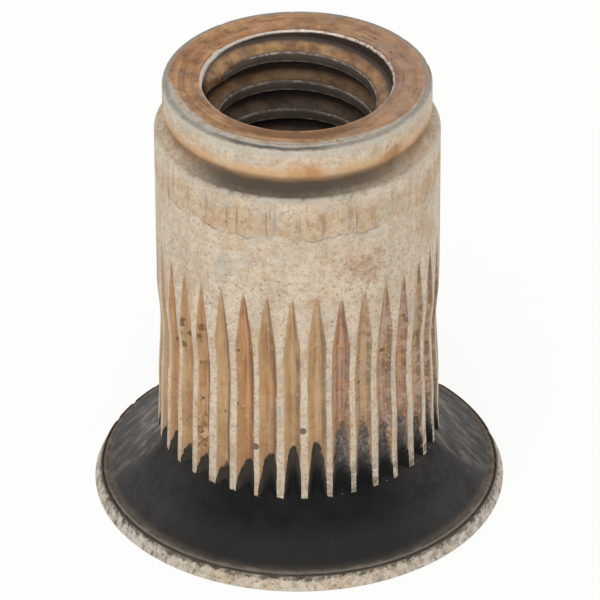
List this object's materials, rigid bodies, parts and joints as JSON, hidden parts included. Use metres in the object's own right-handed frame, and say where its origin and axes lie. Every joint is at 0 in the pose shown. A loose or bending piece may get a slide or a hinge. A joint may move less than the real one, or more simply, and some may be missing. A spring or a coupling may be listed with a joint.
{
  "type": "threaded insert",
  "caption": "Blind rivet nut with a countersunk head, a splined sleeve and an internal thread in its nose; a screw enters at the head.",
  "frame": {"origin": "on the insert's axis, in the plane of the head's outer face", "axes": "+Z along the axis, from the head to the nose"},
  "size_m": [0.0088, 0.0088, 0.01],
  "materials": {
    "insert_steel": "dull zinc plate with brown stain in the splines, and a black coat on the head's cone"
  },
  "bodies": {
    "root": {"insert_body": "insert_steel"}
  },
  "joints": []
}
